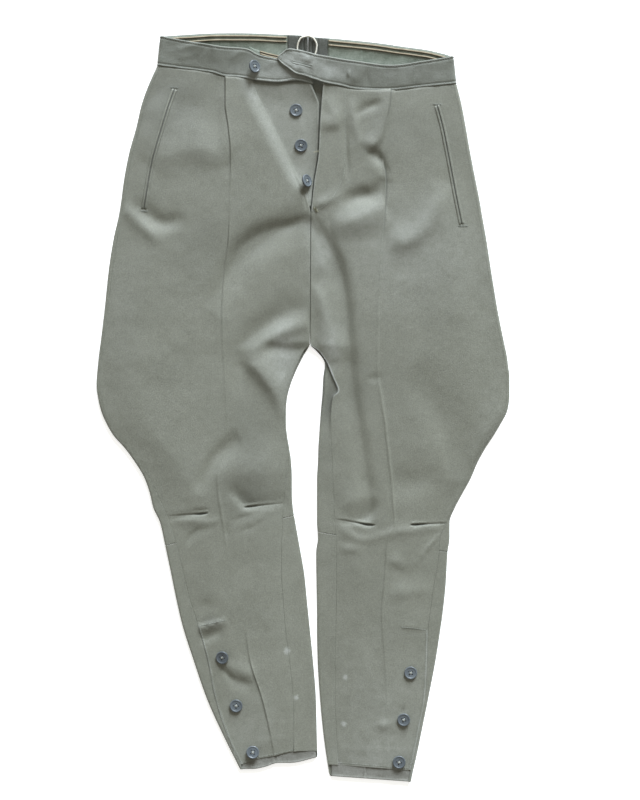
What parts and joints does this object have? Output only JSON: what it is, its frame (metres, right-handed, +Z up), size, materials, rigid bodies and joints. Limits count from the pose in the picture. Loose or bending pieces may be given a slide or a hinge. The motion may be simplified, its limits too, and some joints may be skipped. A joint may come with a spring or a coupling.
{
  "type": "riding breeches laid flat",
  "caption": "Flared grey-green twill riding breeches laid flat on their back, with open button fly, tabbed waistband, jetted side pockets, knee darts and buttoned tapering calves.",
  "frame": {"origin": "centre of the bounding box in X and Y, on the surface that the garment lies on", "axes": "+X towards the wearer's left leg, +Y from hems to waist, +Z up from the surface, out of the garment's front"},
  "size_m": [0.538, 0.975, 0.0234],
  "materials": {
    "outer_cloth": "fine grey-green twill with a slight sheen",
    "lining_cloth": "plain green-grey lining",
    "tan_cord": "tan woven cord with dark lower edge",
    "slate_button": "slate blue-grey moulded four-hole button, half gloss",
    "cream_wire": "cream coated wire"
  },
  "bodies": {
    "root": {"front_right": "outer_cloth", "front_left": "outer_cloth", "fly_stand": "outer_cloth", "back_upper_right": "outer_cloth", "back_upper_left": "outer_cloth", "back_lower_right": "outer_cloth", "back_lower_left": "outer_cloth", "waistband_right": "outer_cloth", "waistband_left": "outer_cloth", "waist_lining_right": "lining_cloth", "waist_lining_left": "lining_cloth", "front_band_lining": "lining_cloth", "waist_cord_1_right": "tan_cord", "waist_cord_2_right": "tan_cord", "waist_cord_1_left": "tan_cord", "waist_cord_2_left": "tan_cord", "centre_back_facing_right": "outer_cloth", "centre_back_facing_left": "outer_cloth", "hanging_loop": "cream_wire", "pocket_jet_outer_right": "outer_cloth", "pocket_jet_inner_right": "outer_cloth", "pocket_jet_outer_left": "outer_cloth", "pocket_jet_inner_left": "outer_cloth", "hem_facing_right": "lining_cloth", "hem_facing_left": "lining_cloth", "button_waist": "slate_button", "button_fly_1": "slate_button", "button_fly_2": "slate_button", "button_fly_3": "slate_button", "button_right_leg_1": "slate_button", "button_right_leg_2": "slate_button", "button_right_leg_3": "slate_button", "button_left_leg_1": "slate_button", "button_left_leg_2": "slate_button", "button_left_leg_3": "slate_button"}
  },
  "joints": []
}
